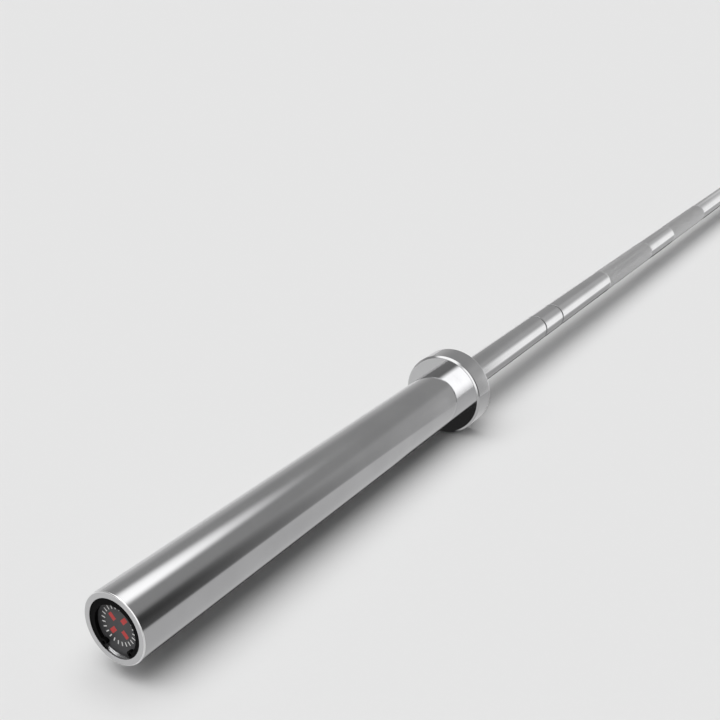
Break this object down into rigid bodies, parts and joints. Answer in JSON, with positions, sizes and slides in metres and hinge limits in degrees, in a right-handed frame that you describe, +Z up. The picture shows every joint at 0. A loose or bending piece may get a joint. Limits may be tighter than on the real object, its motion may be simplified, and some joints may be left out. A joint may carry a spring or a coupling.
{
  "type": "olympic barbell",
  "caption": "Long straight lifting bar with a knurled steel grip, round stop collars and spinning sleeves that carry weight plates at both ends.",
  "frame": {"origin": "middle of the bar, on its axis", "axes": "+X along the bar, +Z up, +Y across the bar"},
  "size_m": [2.2, 0.076, 0.076],
  "materials": {
    "shaft_steel": "ground and bright plated, knurled bands dull",
    "sleeve_steel": "turned, satin plated",
    "collar_chrome": "polished, plated",
    "bronze": "sintered bronze, oiled",
    "washer_steel": "plain hardened steel",
    "ring_steel": "black oxide spring steel",
    "cap_plastic": "fine matt moulded disc"
  },
  "bodies": {
    "shaft": {"shaft": "shaft_steel", "left_stop_washer": "washer_steel", "left_shaft_retaining_ring": "ring_steel", "right_stop_washer": "washer_steel", "right_shaft_retaining_ring": "ring_steel"},
    "left_sleeve": {"left_sleeve_tube": "sleeve_steel", "left_collar": "collar_chrome", "left_inner_bushing": "bronze", "left_outer_bushing": "bronze", "left_inner_thrust_washer": "bronze", "left_outer_thrust_washer": "bronze", "left_end_cap": "cap_plastic", "left_cap_retaining_ring": "ring_steel"},
    "right_sleeve": {"right_sleeve_tube": "sleeve_steel", "right_collar": "collar_chrome", "right_inner_bushing": "bronze", "right_outer_bushing": "bronze", "right_inner_thrust_washer": "bronze", "right_outer_thrust_washer": "bronze", "right_end_cap": "cap_plastic", "right_cap_retaining_ring": "ring_steel"}
  },
  "joints": [
    {"name": "left_sleeve_spin", "type": "hinge", "parent": "shaft", "child": "left_sleeve", "pos_m": [-0.9, 0, 0], "axis": [1, 0, 0], "continuous": true},
    {"name": "right_sleeve_spin", "type": "hinge", "parent": "shaft", "child": "right_sleeve", "pos_m": [0.9, 0, 0], "axis": [1, 0, 0], "continuous": true}
  ]
}
